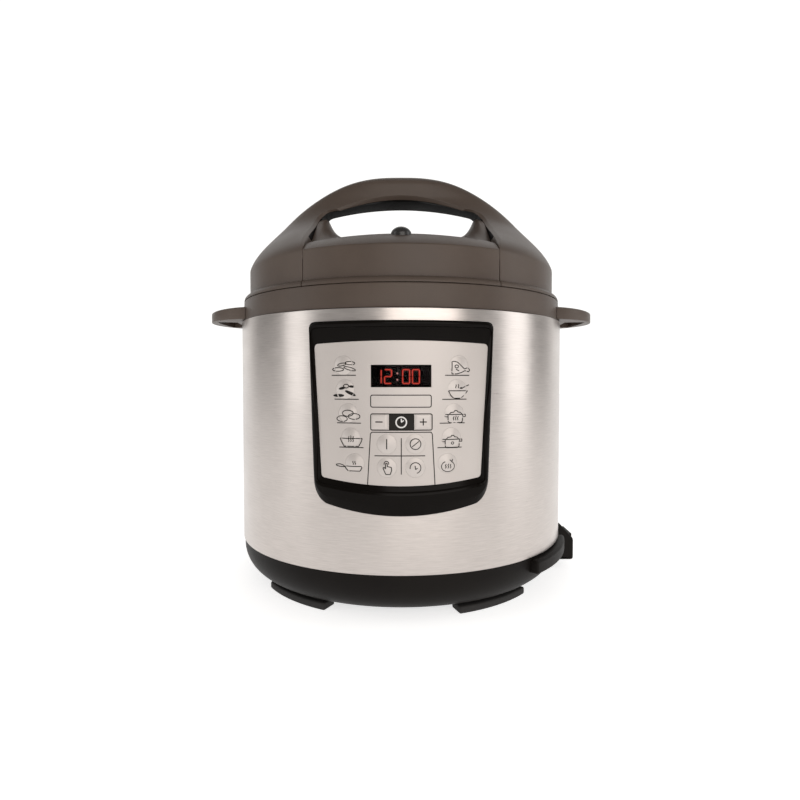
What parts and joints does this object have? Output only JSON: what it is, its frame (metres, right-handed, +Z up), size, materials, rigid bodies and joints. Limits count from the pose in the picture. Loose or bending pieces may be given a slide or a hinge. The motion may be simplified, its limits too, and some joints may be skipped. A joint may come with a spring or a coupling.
{
  "type": "electric pressure cooker",
  "caption": "Countertop electric pressure cooker: brushed steel drum, domed bayonet lid with a bridge grip, front key panel, inner pot, heater and valves.",
  "frame": {"origin": "centre of the object's footprint, on the plane its feet stand on", "axes": "+Z up, -Y out of the front control panel, +X to the right seen from the front"},
  "size_m": [0.321, 0.289, 0.331],
  "materials": {
    "shell_steel": "fine horizontal brushing, satin",
    "pot_steel": "turned and polished stainless steel",
    "vessel_aluminium": "satin pressed aluminium",
    "brown_plastic": "satin moulded plastic, warm dark brown grey",
    "base_plastic": "satin moulded plastic, near black",
    "grip_black": "fine textured black",
    "gloss_black": "high gloss black",
    "panel_silver": "silver painted film, fine metallic grain",
    "key_silver": "silver domed film key",
    "smoked_window": "dark tinted window",
    "clear_cup": "clear moulded cup",
    "valve_black": "satin black, slightly glossy",
    "silicone": "translucent white silicone",
    "foot_rubber": "matt rubber",
    "circuit_board": "green solder mask",
    "pin_brass": "plated brass",
    "fastener": "bright zinc and stainless fittings"
  },
  "bodies": {
    "cooker_body": {"base_tray": "base_plastic", "bottom_cover": "base_plastic", "foot_pad_1": "foot_rubber", "foot_pad_2": "foot_rubber", "foot_pad_3": "foot_rubber", "foot_pad_4": "foot_rubber", "base_screw_1": "fastener", "base_screw_2": "fastener", "base_screw_3": "fastener", "outer_shell": "shell_steel", "top_collar": "brown_plastic", "side_handle_left": "brown_plastic", "side_handle_right": "brown_plastic", "pressure_vessel": "vessel_aluminium", "heating_plate": "vessel_aluminium", "sensor_spring": "fastener", "pressure_switch": "base_plastic", "power_board": "circuit_board", "power_inlet": "base_plastic", "inlet_pin_1": "pin_brass", "inlet_pin_2": "pin_brass", "inlet_pin_3": "pin_brass", "panel_bezel": "gloss_black", "panel_fascia": "panel_silver", "display_window": "smoked_window", "display_module": "base_plastic", "control_board": "circuit_board", "cup_bracket": "base_plastic"},
    "inner_pot": {"inner_pot": "pot_steel"},
    "temperature_sensor": {"temperature_sensor": "vessel_aluminium"},
    "inner_lid": {"inner_lid_plate": "vessel_aluminium", "sealing_ring": "silicone", "post_grommet": "silicone"},
    "lid": {"lid_handle": "brown_plastic", "handle_underside": "grip_black", "lid_cover": "brown_plastic", "steel_lid": "pot_steel", "centre_post": "fastener", "vent_pipe": "fastener", "valve_shield": "fastener", "float_seal": "silicone"},
    "steam_valve": {"steam_valve_knob": "valve_black"},
    "float_valve": {"float_valve": "valve_black"},
    "condensate_cup": {"condensate_cup": "clear_cup"},
    "food_key_left_1": {"food_key_left_1": "key_silver"},
    "food_key_left_2": {"food_key_left_2": "key_silver"},
    "food_key_left_3": {"food_key_left_3": "key_silver"},
    "food_key_left_4": {"food_key_left_4": "key_silver"},
    "food_key_left_5": {"food_key_left_5": "key_silver"},
    "food_key_right_1": {"food_key_right_1": "key_silver"},
    "food_key_right_2": {"food_key_right_2": "key_silver"},
    "food_key_right_3": {"food_key_right_3": "key_silver"},
    "food_key_right_4": {"food_key_right_4": "key_silver"},
    "food_key_right_5": {"food_key_right_5": "key_silver"},
    "start_key": {"start_key": "key_silver"},
    "stop_key": {"stop_key": "key_silver"},
    "manual_key": {"manual_key": "key_silver"},
    "delay_key": {"delay_key": "key_silver"},
    "minus_key": {"minus_key": "key_silver"},
    "plus_key": {"plus_key": "key_silver"}
  },
  "joints": [
    {"name": "lid_lift", "type": "slide", "parent": "cooker_body", "child": "inner_lid", "axis": [0, 0, 1], "range_m": [0, 0.15]},
    {"name": "lid_turn", "type": "hinge", "parent": "inner_lid", "child": "lid", "pos_m": [0, -0.007, 0.22], "axis": [0, 0, 1], "range_deg": [0, 24]},
    {"name": "pot_lift", "type": "slide", "parent": "cooker_body", "child": "inner_pot", "axis": [0, 0, 1], "range_m": [0, 0.0675]},
    {"name": "steam_valve_turn", "type": "hinge", "parent": "lid", "child": "steam_valve", "pos_m": [0, 0.061, 0.28], "axis": [0, 0, 1], "range_deg": [-40, 40]},
    {"name": "float_valve_rise", "type": "slide", "parent": "lid", "child": "float_valve", "axis": [0, 0, 1], "range_m": [0, 0.004]},
    {"name": "sensor_press", "type": "slide", "parent": "cooker_body", "child": "temperature_sensor", "axis": [0, 0, 1], "range_m": [-0.003, 0], "stiffness_N_per_m": 600, "deforming": ["sensor_spring"]},
    {"name": "cup_pull", "type": "slide", "parent": "cooker_body", "child": "condensate_cup", "axis": [0, 1, 0], "range_m": [0, 0.04]},
    {"name": "food_left_1_press", "type": "slide", "parent": "cooker_body", "child": "food_key_left_1", "axis": [0.272, 0.9623, 0], "range_m": [0, 0.0005], "stiffness_N_per_m": 400},
    {"name": "food_left_2_press", "type": "slide", "parent": "cooker_body", "child": "food_key_left_2", "axis": [0.2631, 0.9648, 0], "range_m": [0, 0.0005], "stiffness_N_per_m": 400},
    {"name": "food_left_3_press", "type": "slide", "parent": "cooker_body", "child": "food_key_left_3", "axis": [0.2498, 0.9683, 0], "range_m": [0, 0.0005], "stiffness_N_per_m": 400},
    {"name": "food_left_4_press", "type": "slide", "parent": "cooker_body", "child": "food_key_left_4", "axis": [0.2365, 0.9716, 0], "range_m": [0, 0.0005], "stiffness_N_per_m": 400},
    {"name": "food_left_5_press", "type": "slide", "parent": "cooker_body", "child": "food_key_left_5", "axis": [0.218, 0.9759, 0], "range_m": [0, 0.0005], "stiffness_N_per_m": 400},
    {"name": "food_right_1_press", "type": "slide", "parent": "cooker_body", "child": "food_key_right_1", "axis": [-0.272, 0.9623, 0], "range_m": [0, 0.0005], "stiffness_N_per_m": 400},
    {"name": "food_right_2_press", "type": "slide", "parent": "cooker_body", "child": "food_key_right_2", "axis": [-0.2631, 0.9648, 0], "range_m": [0, 0.0005], "stiffness_N_per_m": 400},
    {"name": "food_right_3_press", "type": "slide", "parent": "cooker_body", "child": "food_key_right_3", "axis": [-0.2498, 0.9683, 0], "range_m": [0, 0.0005], "stiffness_N_per_m": 400},
    {"name": "food_right_4_press", "type": "slide", "parent": "cooker_body", "child": "food_key_right_4", "axis": [-0.2365, 0.9716, 0], "range_m": [0, 0.0005], "stiffness_N_per_m": 400},
    {"name": "food_right_5_press", "type": "slide", "parent": "cooker_body", "child": "food_key_right_5", "axis": [-0.218, 0.9759, 0], "range_m": [0, 0.0005], "stiffness_N_per_m": 400},
    {"name": "start_press", "type": "slide", "parent": "cooker_body", "child": "start_key", "axis": [0.0665, 0.9978, 0], "range_m": [0, 0.0005], "stiffness_N_per_m": 400},
    {"name": "stop_press", "type": "slide", "parent": "cooker_body", "child": "stop_key", "axis": [-0.0665, 0.9978, 0], "range_m": [0, 0.0005], "stiffness_N_per_m": 400},
    {"name": "manual_press", "type": "slide", "parent": "cooker_body", "child": "manual_key", "axis": [0.0665, 0.9978, 0], "range_m": [0, 0.0005], "stiffness_N_per_m": 400},
    {"name": "delay_press", "type": "slide", "parent": "cooker_body", "child": "delay_key", "axis": [-0.0665, 0.9978, 0], "range_m": [0, 0.0005], "stiffness_N_per_m": 400},
    {"name": "minus_press", "type": "slide", "parent": "cooker_body", "child": "minus_key", "axis": [0.1027, 0.9947, 0], "range_m": [0, 0.0005], "stiffness_N_per_m": 400},
    {"name": "plus_press", "type": "slide", "parent": "cooker_body", "child": "plus_key", "axis": [-0.1027, 0.9947, 0], "range_m": [0, 0.0005], "stiffness_N_per_m": 400}
  ],
  "couplings": [
    {"joint": "pot_lift", "follows": "lid_lift", "ratio": 0.45}
  ]
}
